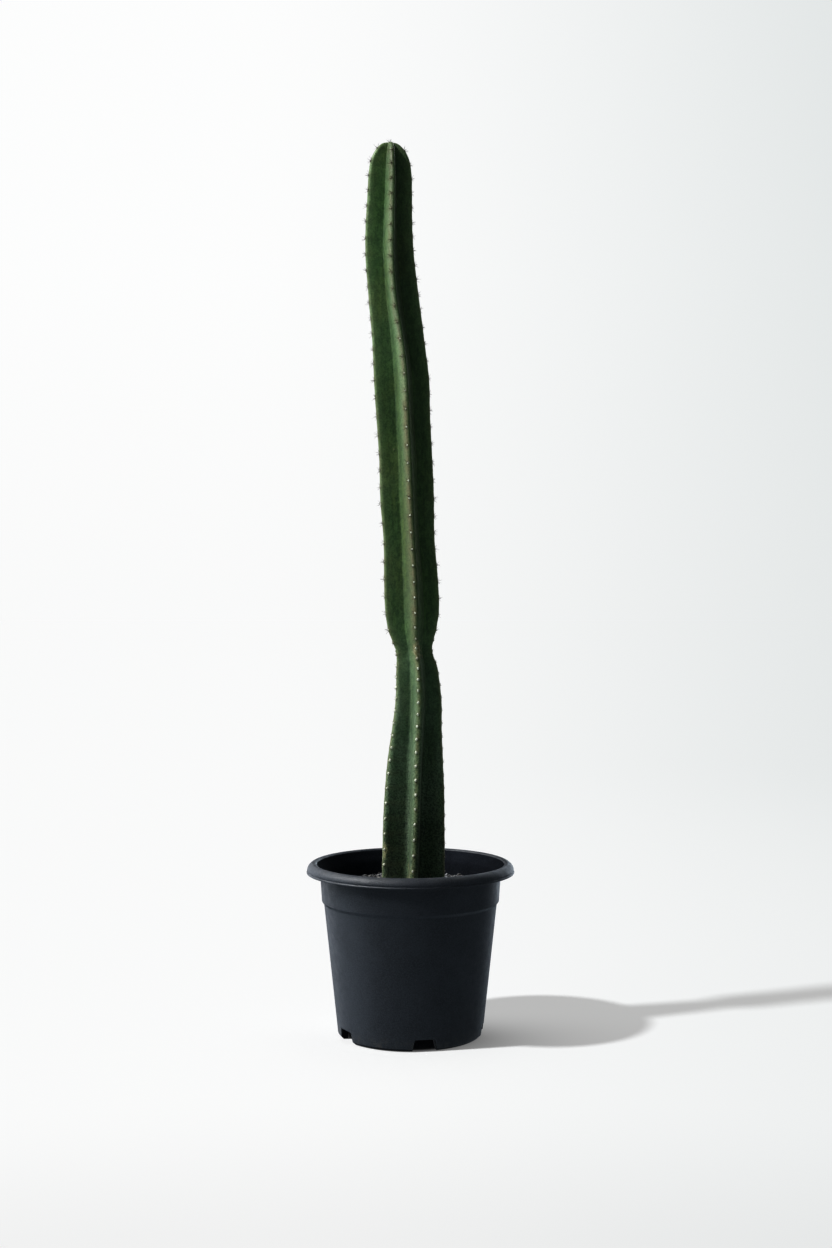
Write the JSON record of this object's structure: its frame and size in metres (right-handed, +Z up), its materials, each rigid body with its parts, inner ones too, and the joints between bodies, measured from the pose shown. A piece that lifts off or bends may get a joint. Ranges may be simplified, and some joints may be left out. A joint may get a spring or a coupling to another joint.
{
  "type": "potted peruvian apple cactus",
  "caption": "Tall columnar cactus with deep ribs, a pinched neck and rows of short-spined areoles, standing in soil in a dark round nursery pot with a rolled lip.",
  "frame": {"origin": "centre of the pot's foot, on the ground", "axes": "+Z up along the pot's axis, -Y towards the viewer of the picture, +X to that viewer's right"},
  "size_m": [0.21, 0.21, 0.9082],
  "materials": {
    "pot_plastic": "satin",
    "soil": "matte",
    "cactus_skin": "satin"
  },
  "bodies": {
    "root": {"pot": "pot_plastic", "soil": "soil", "stem": "cactus_skin"}
  },
  "joints": []
}
